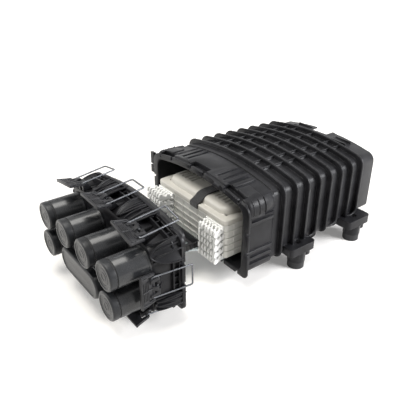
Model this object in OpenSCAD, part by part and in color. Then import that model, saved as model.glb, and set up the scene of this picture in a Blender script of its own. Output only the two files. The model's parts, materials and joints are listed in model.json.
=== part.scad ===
// Dome splice closure, opened for work.
// The ribbed dome stands on four feet. The base, with its cable ports, draw latches and splice
// tray stack, is drawn out of the dome's mouth along X.
// Origin: centre of the foot bolt pattern, on the floor. +X runs to the closed end, +Z is up.

/* [Dome] */
// Length of the dome from its mouth to its closed end
dome_len = 315; // [305:1:330]
// Half width of the body behind the collar
dome_hw = 118; // [117:0.5:119]
// Height of the body's crown behind the collar
dome_top = 168; // [166:0.5:172]
// Height of the body's underside behind the collar
dome_low = 31; // [30:0.5:32]
// How much each side draws in towards the closed end
side_draft = 8; // [4:0.5:9]
// How much the crown falls towards the closed end
top_draft = 10; // [6:0.5:12]
// How much the underside rises towards the closed end
low_draft = 10; // [4:0.5:10]
// Fall of the arched crown from its middle to the shoulders
arch_drop = 13; // [10:0.5:15]
// Radius of the upper shoulders
corner_r = 16; // [12:0.5:20]
// Radius of the lower edges
low_corner_r = 8; // [5:0.5:10]
// Thickness of the dome's wall
wall = 3.2; // [2.8:0.1:3.5]
// Depth of the open recess behind the dome's end wall
end_recess = 20; // [14:0.5:24]

/* [Collar and lip] */
// Length of the reinforced collar at the mouth
collar_len = 62; // [56:0.5:66]
// Half width of the collar
collar_hw = 120; // [119:0.5:121]
// Height of the collar's crown
collar_top = 166; // [165:0.5:167]
// Height of the collar's underside
collar_low = 30; // [29:0.5:31]
// How far the raised pads stand off the collar
pad_h = 3; // [2:0.5:4]
// Thickness of the lip around the mouth
lip_t = 4.5; // [4:0.1:4.8]
// How far the lip stands out beyond each side of the collar
lip_side = 9; // [8:0.5:10]
// How far the lip reaches below the collar
lip_below = 6; // [6:0.5:7]
// Clear half width of the mouth
mouth_hw = 115; // [114.5:0.5:116]
// Clear height at the crown of the mouth
mouth_top = 156; // [155:0.5:157]
// Height of the mouth's sill
mouth_low = 34; // [33:0.5:35]

/* [Ribs] */
// Number of ribs around the body
rib_count = 8; // [6:1:8]
// Distance from the mouth to the first rib
rib_first = 78; // [74:0.5:82]
// Distance from one rib to the next
rib_pitch = 27.7; // [26:0.1:28]
// Thickness of a rib
rib_t = 4; // [3:0.25:5]
// Height of a rib over the body
rib_h = 8; // [5:0.5:9]
// Height of a rib below the underside
rib_low = 3; // [1:0.5:4]
// Thickness of the runners along the crown
runner_t = 2.6; // [2:0.2:4]
// Height of the runners over the crown
runner_h = 4.5; // [2:0.5:6]

/* [Feet] */
// Distance from the mouth to the front feet
foot_first = 118; // [116:0.5:120]
// Distance between the front and rear feet
foot_pitch = 143; // [141:0.5:145]
// Distance of the foot bolts from the middle plane
foot_y = 123; // [123:0.5:126]
// Radius of a foot's main boss
foot_r = 15; // [13:0.5:17]
// Radius of the smaller boss behind it
foot_small_r = 10.5; // [8:0.5:12]
// Radius of the foot bolt hole
foot_bolt_r = 3.25; // [2.75:0.25:3.5]
// Height of the pad under each foot
foot_pad_h = 12; // [8:0.5:16]
// Height of the top of the foot shelf
shelf_top = 46; // [42:0.5:50]
// Thickness of the foot shelf
shelf_t = 15; // [10:0.5:18]

/* [Base] */
// Distance that the base is drawn out of the dome
base_gap = 113; // [100:1:120]
// Thickness of the base's flange
flange_t = 6; // [5:0.5:8]
// How much lower the flange's crown is than the dome's lip
flange_step = 3; // [2:0.5:4]
// Depth of the base housing behind the flange's face
housing_depth = 48; // [47:0.5:52]
// Half width of the base housing
housing_hw = 119; // [118.5:0.5:120]
// Height of the housing's crown
housing_top = 150; // [148:0.5:152]
// Height of the housing's underside
housing_low = 34; // [33:0.5:35]
// Thickness of the housing's walls
housing_wall = 3; // [2.5:0.25:3.5]
// Thickness of the port panel
panel_t = 4; // [3:0.5:5]
// Length of the spigot that enters the dome's mouth
spigot_len = 12; // [10:0.5:16]
// Gap between the spigot and the mouth
spigot_gap = 2; // [1.5:0.25:3]
// Width of the seal around the spigot
seal_w = 5; // [3:0.5:6]
// Gap left between the seal and the mouth
seal_gap = 0.3; // [0.3:0.1:0.5]
// Gap left between the shut flange and the dome's lip
face_gap = 0.3; // [0.2:0.1:0.5]

/* [Ports] */
// Outer diameter of a round port
port_d = 44.5; // [42:0.5:45.5]
// Inner diameter of a round port
port_bore = 38; // [36:0.5:39]
// Length of a round port's tube in front of the panel
port_len = 48.5; // [44:0.5:54]
// Distance of the outer ports from the middle plane
port_y_out = 96; // [95:0.5:96.5]
// Distance of the inner ports from the middle plane
port_y_in = 32; // [28:0.5:36]
// Height of the upper row of ports
port_z_high = 111; // [109:0.5:112]
// Height of the lower row of ports
port_z_low = 61.5; // [60:0.5:63]
// Half width of the oval port
oval_hw = 60; // [54:0.5:64]
// Half height of the oval port
oval_hh = 21; // [18:0.5:22]
// Height of the oval port's middle
oval_z = 58.5; // [57:0.5:60]
// Length of the oval port in front of the panel
oval_len = 44; // [40:0.5:50]
// Wall of the oval port
oval_wall = 3; // [2.5:0.25:4]
// Thickness of a port cap's end plate
cap_t = 10; // [7:0.5:14]
// Length of the cap's plug inside the port
plug_len = 14; // [10:0.5:20]
// Thickness of the sealing ring behind a cap
ring_t = 1.6; // [1.2:0.1:2.5]
// How far the sealing ring is set in from the port's surface
ring_inset = 1.2; // [0.6:0.1:1.8]
// Running clearance of a cap's plug in its port, on the radius
plug_gap = 0.08; // [0.05:0.01:0.1]
// Gap between a cap and its sealing ring
cap_gap = 0.3; // [0.2:0.05:0.4]

/* [Latches] */
// Distance of the outer latches from the middle plane
latch_y = 88; // [87:0.5:88.5]
// Height of the latches on the two sides
side_latch_z = 88; // [86:0.5:90]
// Distance from the flange's face back to a lever's pivot
pivot_back = 45; // [43.5:0.5:46]
// Depth of a lever's pivot below the lip's crest
pivot_n = 2; // [1.5:0.25:2.5]
// Distance from a lever's pivot to its bail
crank = 10; // [9:0.5:11]
// Angle by which a shut lever lies past flat
over_centre = 4; // [3:0.5:5]
// Angle that a lever stands off its shut place as drawn
lever_lift = 13; // [11:0.5:14]
// Length of a lever from its pivot
lever_len = 30; // [26:0.5:32]
// Half width of a lever at its tip
lever_tip_hw = 26.5; // [24:0.5:27]
// Half width of a lever at its pivot end
lever_hw = 23; // [21:0.5:24]
// Thickness of a lever's plate
lever_t = 3; // [2.5:0.25:3.5]
// Diameter of the bail wire and the pivot pins
wire_d = 3; // [2.6:0.1:3.2]
// Distance of a bail's arms from the latch's middle
bail_hw = 17; // [16.5:0.25:17.5]
// Distance that a bail's bar hooks below the lip's crest
hook_n = 2.5; // [2:0.25:3]
// Gap between a hooked bar and the lip
hook_gap = 0.5; // [0.4:0.1:0.8]
// Running clearance of pins in their holes, on the radius
pin_gap = 0.05; // [0.03:0.01:0.1]
// Side gap between a latch's ears and its lever
side_gap = 0.4; // [0.3:0.1:0.5]

/* [Trays] */
// Number of splice trays
tray_count = 5; // [4:1:5]
// Height of a splice tray
tray_h = 12; // [10:0.5:12.5]
// Length of a splice tray
tray_len = 186; // [170:1:190]
// Half width of a splice tray
tray_hw = 92; // [86:0.5:94]
// Thickness of a tray's walls
tray_wall = 1.8; // [1.2:0.1:2.4]
// Distance from the flange's face to the front of the trays
tray_start = 99; // [94:0.5:104]
// Length of the comb fingers in front of a tray
comb_len = 24; // [16:0.5:28]
// Number of comb fingers on each side of a tray
comb_count = 6; // [4:1:7]
// Distance between comb fingers
comb_pitch = 7.4; // [6:0.1:7.5]
// Thickness of a comb finger
comb_t = 2.6; // [2:0.1:3.4]
// Thickness of the tray cover's slab
cover_t = 8; // [6:0.5:10]
// Thickness of the cover's moulding
cover_wall = 2.4; // [2:0.2:3]
// Height of the cover's crown over its slab
crown_h = 11; // [8:0.5:12]
// Half width of the cover's crown
crown_hw = 80; // [70:0.5:84]
// Width of the strap over the trays
strap_w = 20; // [14:0.5:26]
// Thickness of the strap
strap_t = 2; // [1.5:0.25:3]

/* [Tray bracket] */
// Height of the bracket's underside
bracket_z = 46; // [45.5:0.5:47]
// Thickness of the bracket's sheet
bracket_t = 2; // [1.5:0.25:2.5]
// Half width of the neck between base and trays
neck_hw = 38; // [34:0.5:42]
// Half width of the carrier under the trays
carrier_hw = 88; // [84:0.5:90]
// Length of the carrier under the trays
carrier_len = 172; // [150:1:176]
// Distance of the floor rails from the middle plane
rail_y = 62; // [50:1:75]
// Width of a floor rail
rail_w = 6; // [4:0.5:10]
// Radius of the curves between neck and carrier
neck_r = 26; // [16:0.5:30]
// Radius of the bracket screws' shanks
screw_r = 2; // [1.5:0.25:2.5]
// Length of the slack basket on the neck
basket_len = 64; // [50:1:70]
// Half width of the slack basket
basket_hw = 44; // [40:0.5:47]
// Height of the slack basket's walls
basket_h = 15; // [10:0.5:18]

/* [Hidden] */
$fn = 48;

// Places along X, in the part's own frame
mouth_x = -(foot_first + foot_pitch / 2);
end_x = mouth_x + dome_len;
face_x = mouth_x - base_gap;
panel_x = face_x - housing_depth;

// Section of the closure, as points in (y, z): level floor, upright sides, arched crown
arch_hw = 110;
arch_steps = 7;
function arc(cy, cz, r, from, to) = [for (k = [0:4]) let (a = from + (to - from) * k / 4)
    [cy + r * cos(a), cz + r * sin(a)]];
function crown(y, top) = top - arch_drop * pow(y / arch_hw, 2);
function section(hw, low, top, r, r_low) = concat(
    arc(-hw + r_low, low + r_low, r_low, 180, 270),
    arc(hw - r_low, low + r_low, r_low, 270, 360),
    arc(hw - r, crown(hw - r, top) - r, r, 0, 78),
    [for (k = [arch_steps:-1:-arch_steps]) let (y = (hw - r) * k / arch_steps) [y, crown(y, top)]],
    arc(-hw + r, crown(hw - r, top) - r, r, 102, 180));
function rounded(w, d, r) = concat(
    arc(-w / 2 + r, -d / 2 + r, r, 180, 270), arc(w / 2 - r, -d / 2 + r, r, 270, 360),
    arc(w / 2 - r, d / 2 - r, r, 0, 90), arc(-w / 2 + r, d / 2 - r, r, 90, 180));

module along_x(from, len, points)
    translate([from, 0, 0]) rotate([90, 0, 90]) linear_extrude(len) polygon(points);
module block(low, high) translate(low) cube(high - low);

// Bays of the body between the ribs: each is a little smaller than the one before
function bay_hw(i) = dome_hw - side_draft * i / rib_count;
function bay_top(i) = dome_top - top_draft * i / rib_count;
function bay_low(i) = dome_low + low_draft * i / rib_count;
function rib_x(k) = mouth_x + rib_first + rib_pitch * k;
function bay_x(i) = i == 0 ? mouth_x + collar_len : rib_x(i - 1);
function bay_end(i) = i == rib_count ? end_x : rib_x(i);
half_count = floor(rib_count / 2);
runners = [-62, -40, 0, 40, 62];
end_wall_x = end_x - end_recess - wall;

// Lip of the dome and matching outline of the base's flange
lip_hw = collar_hw + lip_side;
lip_low = collar_low - lip_below;
pocket_n = 6;
pocket_len = 10;
lip_points = section(lip_hw, lip_low, collar_top, corner_r, low_corner_r);
flange_points = section(lip_hw, lip_low, collar_top - flange_step, corner_r, low_corner_r);

// Latches: [roll about X, y, z of the lip's crest, depth of the housing below that crest]
top_tilt = atan(2 * arch_drop * latch_y / pow(arch_hw, 2));
side_y = lip_hw;
top_depth = collar_top - housing_top;
low_depth = housing_low - lip_low;
latches = [
    [-top_tilt, latch_y, crown(latch_y, collar_top), top_depth],
    [0, 0, collar_top, top_depth],
    [top_tilt, -latch_y, crown(latch_y, collar_top), top_depth],
    [90, -side_y, side_latch_z, lip_hw - housing_hw],
    [180, -latch_y, lip_low, low_depth],
    [180, 0, lip_low, low_depth],
    [180, latch_y, lip_low, low_depth],
    [-90, side_y, side_latch_z, lip_hw - housing_hw]];
module at_latch(x, i) translate([x, latches[i][1], latches[i][2]]) rotate([latches[i][0], 0, 0])
    children();

// Draw latch, in its own frame: +X to the dome, +Z outward, origin at the flange's face and crest
wire_r = wire_d / 2;
pin_hole_r = wire_r + pin_gap;
slot_side = 0.9;
pivot = [-pivot_back, 0, -pivot_n];
lever_tilt = lever_lift - over_centre;
shut_bail = pivot + crank * [-cos(over_centre), 0, -sin(over_centre)];
shut_bar = [face_gap + lip_t + hook_gap + wire_r, 0, -hook_n];
bail_reach = norm(shut_bar - shut_bail);
bail_tilt = atan2(shut_bar[2] - shut_bail[2], shut_bar[0] - shut_bail[0]) + lever_lift / 2;
ear_in = 4;
ear_out = 9;
cheek_in = ear_out + side_gap;
cheek_out = cheek_in + 5;
ear_r = 4.2;
notch_n = hook_n + wire_d;

// Ports: [y, z], upper row from the left, then the lower row
ports = [[port_y_out, port_z_high], [port_y_in, port_z_high], [-port_y_in, port_z_high],
    [-port_y_out, port_z_high], [port_y_out, port_z_low], [-port_y_out, port_z_low]];
port_r = port_d / 2;
bore_r = port_bore / 2;
oval_bore_hw = oval_hw - oval_wall;
oval_bore_hh = oval_hh - oval_wall;

// Trays and their bracket
bracket_top = bracket_z + bracket_t;
tray_x = face_x + tray_start;
stack_top = bracket_top + tray_count * tray_h;
slab_top = stack_top + cover_t;
crown_top = slab_top + crown_h;
crown_x = tray_x + 10;
crown_len = tray_len - 24;
strap_y = -14;
neck_start = face_x - 38;
carrier_x = tray_x - 10;
screw_x = [face_x - 30, face_x - 12];
screw_y = 28;
boss_r = 6;

// ---- Dome ----
module dome_outer() {
    along_x(mouth_x, lip_t, lip_points);
    along_x(mouth_x, collar_len, section(collar_hw, collar_low, collar_top, corner_r, low_corner_r));
    for (i = [0:rib_count])
        along_x(bay_x(i), bay_end(i) - bay_x(i),
            section(bay_hw(i), bay_low(i), bay_top(i), corner_r, low_corner_r));
    for (k = [0:rib_count - 1])
        along_x(rib_x(k) - rib_t / 2, rib_t, section(bay_hw(k) + rib_h, bay_low(k) - rib_low,
            bay_top(k) + rib_h, corner_r + rib_h / 2, low_corner_r + rib_h));
    for (i = [1:rib_count - 1], y = runners)
        block([bay_x(i), y - runner_t / 2, bay_top(i) - 20],
            [bay_end(i), y + runner_t / 2, crown(y, bay_top(i)) + runner_h]);
    collar_pads();
    end_fins();
    for (x = [mouth_x + foot_first, mouth_x + foot_first + foot_pitch], side = [-1, 1])
        foot_lug(x, side);
}

// Raised pads on the collar, cut from one skin
pad_gap_w = 6;
pad_rim = 12;
top_gaps = [40, 54, 68, 82];
side_gaps = [47, 59, 122, 134];
side_bay = [side_latch_z - 20, side_latch_z + 25];
corner_bay = [82, 140];
corner_rim = 38;
corner_depth = 40;
past = 20;
module collar_pads() difference() {
    along_x(mouth_x + lip_t, collar_len - 2 * lip_t, section(collar_hw + pad_h, collar_low,
        collar_top + pad_h, corner_r + pad_h, low_corner_r));
    for (y = top_gaps, side = [-1, 1])
        block([mouth_x + pad_rim, side * y - pad_gap_w / 2, collar_top - past],
            [mouth_x + collar_len, side * y + pad_gap_w / 2, collar_top + past]);
    for (side = [-1, 1]) scale([1, side, 1]) {
        for (z = side_gaps)
            block([mouth_x + pad_rim, collar_hw, z - pad_gap_w / 2],
                [mouth_x + collar_len, collar_hw + past, z + pad_gap_w / 2]);
        block([mouth_x, collar_hw, side_bay[0]], [mouth_x + collar_len, collar_hw + past, side_bay[1]]);
        block([mouth_x + corner_rim, corner_bay[0], collar_top - corner_depth],
            [mouth_x + collar_len, corner_bay[1], collar_top + past]);
    }
}

// Short fins on the crown behind the last rib
fin_pitch = 14;
fin_y = 30;
fin_w = 34;
fin_h = 5;
module end_fins() for (k = [1, 2], side = [-1, 1]) scale([1, side, 1])
    block([end_x - k * fin_pitch, fin_y, bay_top(rib_count) - 10],
        [end_x - k * fin_pitch + rib_t - 1, fin_y + fin_w,
            crown(fin_y + fin_w, bay_top(rib_count)) + fin_h]);

shelf_len = 56;
shelf_in = 8;
small_back = 6;
small_in = 3;
small_raise = 4;
module foot_lug(x, side) {
    translate([x, side * (foot_y - shelf_in), shelf_top - shelf_t])
        linear_extrude(shelf_t) polygon(rounded(shelf_len, 2 * (foot_r + shelf_in), 6));
    translate([x, side * foot_y, foot_pad_h]) cylinder(r = foot_r, h = shelf_top - foot_pad_h);
    translate([x + foot_r + small_back, side * (foot_y - small_in), foot_pad_h + small_raise])
        cylinder(r = foot_small_r, h = shelf_top - foot_pad_h - small_raise - 2);
}

module dome_hollow() {
    along_x(mouth_x - 1, collar_len + 2, section(mouth_hw, mouth_low, mouth_top, corner_r,
        low_corner_r));
    along_x(mouth_x + collar_len - 1, bay_end(half_count) - bay_x(0) + 1,
        section(bay_hw(half_count) - wall, bay_low(half_count) + wall, bay_top(half_count) - wall,
        corner_r - wall, low_corner_r - wall));
    along_x(bay_end(half_count) - 1, end_wall_x - bay_end(half_count) + 1,
        section(bay_hw(rib_count) - wall, bay_low(rib_count) + wall, bay_top(rib_count) - wall,
        corner_r - wall, low_corner_r - wall));
}

module end_space() along_x(end_wall_x + wall, end_recess + 1, section(bay_hw(rib_count) - wall,
    bay_low(rib_count) + wall, bay_top(rib_count) - wall, corner_r - wall, low_corner_r - wall));

// Rails on the dome's floor that the tray bracket slides on
module floor_rails() intersection() {
    dome_hollow();
    for (side = [-1, 1])
        block([mouth_x + spigot_len + 3, side * rail_y - rail_w / 2, 0],
            [carrier_x + carrier_len + base_gap, side * rail_y + rail_w / 2, bracket_z - face_gap]);
}

web_t = 3;
web_set_in = 3;
web_pitch_y = 44;
web_z = [78, 116];
module end_webs() intersection() {
    end_space();
    union() {
        for (k = [-1.5:1.5])
            block([end_wall_x, k * web_pitch_y - web_t / 2, 0],
                [end_x - web_set_in, k * web_pitch_y + web_t / 2, dome_top]);
        for (z = web_z)
            block([end_wall_x, -dome_hw, z - web_t / 2], [end_x - web_set_in, dome_hw, z + web_t / 2]);
    }
}

edge_gap = [-11, 27];
pocket_side = 4;
sink_r = foot_bolt_r + 2.3;
sink_depth = 3;
module dome() color([0.13, 0.13, 0.14]) difference() {
    union() {
        difference() {
            dome_outer();
            dome_hollow();
            end_space();
        }
        end_webs();
        floor_rails();
    }
    // Gap in the rear edge of the crown
    block([end_x - end_recess + 2, edge_gap[0], bay_top(rib_count) - 11],
        [end_x + 1, edge_gap[1], dome_top + past]);
    for (i = [0:7])
        at_latch(mouth_x, i) for (side = [-1, 1])
            translate([-1, side * bail_hw - wire_r - slot_side, -notch_n])
                cube([lip_t + 2, wire_d + 2 * slot_side, notch_n + past]);
    for (i = [0:2])
        at_latch(mouth_x, i) translate([lip_t, -bail_hw - pocket_side, -pocket_n])
            cube([pocket_len, 2 * (bail_hw + pocket_side), pocket_n + past]);
    for (x = [mouth_x + foot_first, mouth_x + foot_first + foot_pitch], side = [-1, 1])
        translate([x, side * foot_y, 0]) {
            cylinder(r = foot_bolt_r, h = shelf_top + 1);
            translate([0, 0, shelf_top - sink_depth]) cylinder(r = sink_r, h = past);
        }
}

foot_pad_inset = 0.8;
module foot_pad(x, side) color([0.1, 0.1, 0.11]) translate([x, side * foot_y, 0]) difference() {
    cylinder(r = foot_r - foot_pad_inset, h = foot_pad_h);
    translate([0, 0, -1]) cylinder(r = foot_bolt_r, h = foot_pad_h + 2);
}

// ---- Base ----
spigot_hw = mouth_hw - spigot_gap;
function spigot(grow) = section(spigot_hw + grow, mouth_low + spigot_gap - grow,
    mouth_top - spigot_gap + grow, corner_r - spigot_gap + grow, low_corner_r - spigot_gap + grow);
housing_points = section(housing_hw, housing_low, housing_top, corner_r, low_corner_r);
side_setback = 3;
housing_inner = section(housing_hw - housing_wall - side_setback, housing_low + housing_wall,
    housing_top - housing_wall, corner_r - housing_wall, low_corner_r - housing_wall);

// Gusset from the flange down to the housing, in a latch-like frame: three ribs joined by a skin
gusset_len = housing_depth - 4;
gusset_root = flange_t - 1;
gusset_t = 2;
function gusset_curve(depth, below) = [for (k = [0:6]) let (t = 15 * k)
    [-gusset_root - (gusset_len - gusset_root) * sin(t), -1 - below - (depth - 3) * (1 - cos(t))]];
module gusset(width, depth) {
    for (s = [-width / 2, 0, width / 2])
        translate([0, s + gusset_t / 2, 0]) rotate([90, 0, 0]) linear_extrude(gusset_t)
            polygon(concat(gusset_curve(depth, 0), [[-gusset_len, -depth - 1],
                [-gusset_root, -depth - 1]]));
    translate([0, width / 2, 0]) rotate([90, 0, 0]) linear_extrude(width)
        polygon(concat(gusset_curve(depth, 4), [for (k = [6:-1:0]) gusset_curve(depth, 6)[k]]));
}

ear_back = 2.4;
ear_foot = 14;
module latch_ears(depth) for (side = [-1, 1])
    translate([0, side * (ear_in + ear_out) / 2 + (ear_out - ear_in) / 2, 0]) rotate([90, 0, 0])
        linear_extrude(ear_out - ear_in) {
            translate([pivot[0], pivot[2]]) circle(r = ear_r);
            polygon([[pivot[0] - ear_back, pivot[2]], [pivot[0] + ear_r, pivot[2]],
                [pivot[0] + ear_foot, -depth - 2], [pivot[0] - ear_back, -depth - 2]]);
        }

module oval(hw, hh, h) linear_extrude(h) union() {
    square([2 * (hw - hh), 2 * hh], center = true);
    for (side = [-1, 1]) translate([side * (hw - hh), 0]) circle(r = hh);
}
// Turns a shape drawn on the floor to stand on the port panel, with its height towards -X
module on_panel(y, z, out) translate([panel_x - out, y, z]) rotate([0, -90, 0]) rotate([0, 0, -90])
    children();

corner_in = 5.5;
corner_roll = 48;
low_gusset_z = 46;
stand_x = [face_x - 40, face_x - 8];
stand_hw = 7;
stand_wall = 3;
flange_crown = collar_top - flange_step;
module base_outer() {
    along_x(face_x - flange_t, flange_t, flange_points);
    along_x(panel_x, housing_depth, housing_points);
    along_x(face_x, spigot_len, spigot(0));
    for (i = [0:7])
        at_latch(face_x, i) latch_ears(latches[i][3]);
    for (side = [-1, 1]) {
        translate([face_x, side * latch_y / 2, crown(latch_y / 2, flange_crown)])
            rotate([-side * top_tilt / 2, 0, 0]) gusset(20, top_depth - flange_step);
        translate([face_x, side * (lip_hw - corner_in), crown(lip_hw - corner_in, flange_crown) - 6])
            rotate([-side * corner_roll, 0, 0]) gusset(18, 16);
        translate([face_x, side * lip_hw, low_gusset_z]) rotate([-side * 90, 0, 0])
            gusset(14, lip_hw - housing_hw);
        // Moulded stand under the housing
        block([stand_x[0], side * latch_y / 2 - stand_hw, 0],
            [stand_x[1], side * latch_y / 2 + stand_hw, housing_low + 1]);
    }
}

module base_plate() color([0.12, 0.12, 0.13]) {
    difference() {
        base_outer();
        along_x(panel_x + panel_t, housing_depth - panel_t + spigot_len + 1, housing_inner);
        for (p = ports)
            on_panel(p[0], p[1], -panel_t - 1) cylinder(r = bore_r, h = panel_t + 2);
        on_panel(0, oval_z, -panel_t - 1) oval(oval_bore_hw, oval_bore_hh, panel_t + 2);
        for (i = [0:7])
            at_latch(face_x, i) {
                for (side = [-1, 1])
                    translate([-flange_t - 1, side * bail_hw - wire_r - slot_side, -notch_n])
                        cube([flange_t + 2, wire_d + 2 * slot_side, notch_n + past]);
                translate(pivot) rotate([90, 0, 0])
                    cylinder(r = pin_hole_r, h = 2 * ear_out + 4, center = true);
            }
        // Hollow of the stands, open below
        for (side = [-1, 1])
            block([stand_x[0] + stand_wall, side * latch_y / 2 - stand_hw + stand_wall, -1],
                [stand_x[1] - stand_wall, side * latch_y / 2 + stand_hw - stand_wall,
                    housing_low - 4]);
    }
    // Bosses for the bracket's screws
    difference() {
        for (x = screw_x, y = [-screw_y, screw_y])
            translate([x, y, housing_low + 1])
                cylinder(r = boss_r, h = bracket_z - housing_low - 1);
        for (x = screw_x, y = [-screw_y, screw_y])
            translate([x, y, housing_low + 2]) cylinder(r = screw_r + pin_gap, h = 20);
    }
}

module seal_ring() color([0.07, 0.07, 0.07]) difference() {
    along_x(face_x + 3, seal_w, spigot(spigot_gap - seal_gap));
    along_x(face_x + 2, seal_w + 2, spigot(0));
}

// ---- Ports ----
module port_tube(i) color([0.2, 0.2, 0.21]) on_panel(ports[i][0], ports[i][1], 0) difference() {
    union() {
        cylinder(r = port_r, h = port_len);
        cylinder(r = port_r + 1, h = 2.5);
        // Moulded mark along the top of the tube
        translate([-0.8, port_r - 1, port_len - 20]) cube([1.6, 1.7, 17]);
    }
    translate([0, 0, -1]) cylinder(r = bore_r, h = port_len + 2);
}
module port_ring(i) color([0.05, 0.05, 0.05]) on_panel(ports[i][0], ports[i][1], port_len)
    difference() {
        cylinder(r = port_r - ring_inset, h = ring_t);
        translate([0, 0, -1]) cylinder(r = bore_r, h = ring_t + 2);
    }
module port_cap(i) color([0.22, 0.22, 0.23]) on_panel(ports[i][0], ports[i][1],
    port_len + ring_t + cap_gap) difference() {
        union() {
            cylinder(r = port_r, h = cap_t - 1.5);
            cylinder(r = port_r - 1.5, h = cap_t);
            translate([0, 0, -plug_len]) cylinder(r = bore_r - plug_gap, h = plug_len + 1);
        }
        // Shallow dish in the end, with a ring around its middle
        difference() {
            translate([0, 0, cap_t - 1]) cylinder(r = port_r - 4, h = 2);
            translate([0, 0, cap_t - 2]) cylinder(r = 6.5, h = 1.6);
        }
        translate([0, 0, cap_t - 1.2]) cylinder(r = 5, h = 2);
        // Hollow of the plug
        translate([0, 0, -plug_len - 1]) cylinder(r = bore_r - 3, h = plug_len + 3);
    }

module oval_tube() color([0.18, 0.18, 0.19]) on_panel(0, oval_z, 0) difference() {
    union() {
        oval(oval_hw, oval_hh, oval_len);
        oval(oval_hw + 1, oval_hh + 1, 2.5);
    }
    translate([0, 0, -1]) oval(oval_bore_hw, oval_bore_hh, oval_len + 2);
}
module oval_ring() color([0.05, 0.05, 0.05]) on_panel(0, oval_z, oval_len) difference() {
    oval(oval_hw - ring_inset, oval_hh - ring_inset, ring_t);
    translate([0, 0, -1]) oval(oval_bore_hw, oval_bore_hh, ring_t + 2);
}
module oval_cap() color([0.2, 0.2, 0.21]) on_panel(0, oval_z, oval_len + ring_t + cap_gap)
    difference() {
        union() {
            oval(oval_hw, oval_hh, cap_t - 1.5);
            oval(oval_hw - 1.5, oval_hh - 1.5, cap_t);
            translate([0, 0, -plug_len])
                oval(oval_bore_hw - plug_gap, oval_bore_hh - plug_gap, plug_len + 1);
        }
        translate([0, 0, -plug_len - 1]) oval(oval_bore_hw - 3, oval_bore_hh - 3, plug_len + 3);
    }

// ---- Latches ----
module lever(i) color([0.14, 0.14, 0.15])
    at_latch(face_x, i) translate(pivot) rotate([0, lever_tilt, 0]) difference() {
        union() {
            // Plate, wider at its tip, with a turned edge to lift it by
            translate([0, 0, -lever_t / 2]) linear_extrude(lever_t)
                polygon([[-ear_r - 1.2, -lever_hw], [-ear_r - 1.2, lever_hw],
                    [-lever_len, lever_tip_hw], [-lever_len, -lever_tip_hw]]);
            translate([-lever_len, -lever_tip_hw, -lever_t / 2])
                cube([2.5, 2 * lever_tip_hw, lever_t + 1.6]);
            for (s = [-lever_hw, -3, lever_hw - 2])
                translate([-lever_len + 1, s + (s == -3 ? 2 : 0), 0]) cube([lever_len - 8, 2, 3]);
            for (side = [-1, 1]) scale([1, side, 1]) {
                translate([0, cheek_out, 0]) rotate([90, 0, 0])
                    cylinder(r = 3.8, h = cheek_out - cheek_in);
                translate([-crank - 4, cheek_in, -3.2]) cube([crank + 4, cheek_out - cheek_in, 6.4]);
            }
        }
        for (side = [-1, 1])
            translate([-crank - 6, side * bail_hw - wire_r - slot_side, -10])
                cube([crank + 12, wire_d + 2 * slot_side, 20]);
        for (x = [0, -crank])
            translate([x, 0, 0]) rotate([90, 0, 0])
                cylinder(r = pin_hole_r, h = 2 * cheek_out + 2, center = true);
        // Room for the ears between the cheeks
        translate([-ear_r - 1.2, -cheek_in, -10]) cube([20, 2 * cheek_in, 20]);
    }

module bail(i) color([0.72, 0.73, 0.75]) at_latch(face_x, i) translate(pivot
    + crank * [-cos(lever_tilt), 0, sin(lever_tilt)]) rotate([0, -bail_tilt, 0]) {
        for (side = [-1, 1]) {
            translate([0, side * bail_hw, 0]) rotate([0, 90, 0]) cylinder(r = wire_r, h = bail_reach);
            translate([0, side * bail_hw, 0]) sphere(r = wire_r);
            translate([bail_reach, side * bail_hw, 0]) sphere(r = wire_r);
            translate([0, side * (bail_hw + cheek_in + 0.3) / 2, 0]) rotate([90, 0, 0])
                cylinder(r = wire_r, h = bail_hw - cheek_in - 0.3, center = true);
        }
        translate([bail_reach, 0, 0]) rotate([90, 0, 0])
            cylinder(r = wire_r, h = 2 * bail_hw, center = true);
    }

module latch_pins() color([0.75, 0.76, 0.78]) for (i = [0:7])
    at_latch(face_x, i) translate(pivot) rotate([90, 0, 0])
        cylinder(r = wire_r, h = 2 * cheek_out + 0.6, center = true);

// ---- Trays ----
function flare(side) = [for (k = [0:6]) let (a = 90 - 15 * k)
    [carrier_x - neck_r + neck_r * cos(a), side * (neck_hw + neck_r - neck_r * sin(a))]];
module tray_bracket() color([0.72, 0.75, 0.76]) difference() {
    union() {
        translate([0, 0, bracket_z]) linear_extrude(bracket_t) polygon(concat(
            [[neck_start, -neck_hw]], flare(-1),
            [[carrier_x, -carrier_hw + 6], [carrier_x + 6, -carrier_hw],
                [carrier_x + carrier_len, -carrier_hw], [carrier_x + carrier_len, carrier_hw],
                [carrier_x + 6, carrier_hw], [carrier_x, carrier_hw - 6]],
            [for (k = [6:-1:0]) flare(1)[k]], [[neck_start, neck_hw]]));
        // Turned-up edges beside the neck
        for (side = [-1, 1])
            block([neck_start, side * (neck_hw - bracket_t / 2) - bracket_t / 2, bracket_z],
                [carrier_x - neck_r, side * (neck_hw - bracket_t / 2) + bracket_t / 2,
                    bracket_top + 4]);
    }
    for (x = screw_x, y = [-screw_y, screw_y])
        translate([x, y, bracket_z - 1]) cylinder(r = screw_r + pin_gap, h = bracket_t + 2);
}

module bracket_screws() color([0.8, 0.81, 0.83])
    for (x = screw_x, y = [-screw_y, screw_y]) translate([x, y, bracket_top]) difference() {
        union() {
            cylinder(r = 4.2, h = 2.6);
            translate([0, 0, -bracket_t - 7]) cylinder(r = screw_r, h = bracket_t + 8);
        }
        for (a = [0, 90]) rotate([0, 0, a]) translate([-2.6, -0.5, 1.4]) cube([5.2, 1, 2]);
    }

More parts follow.
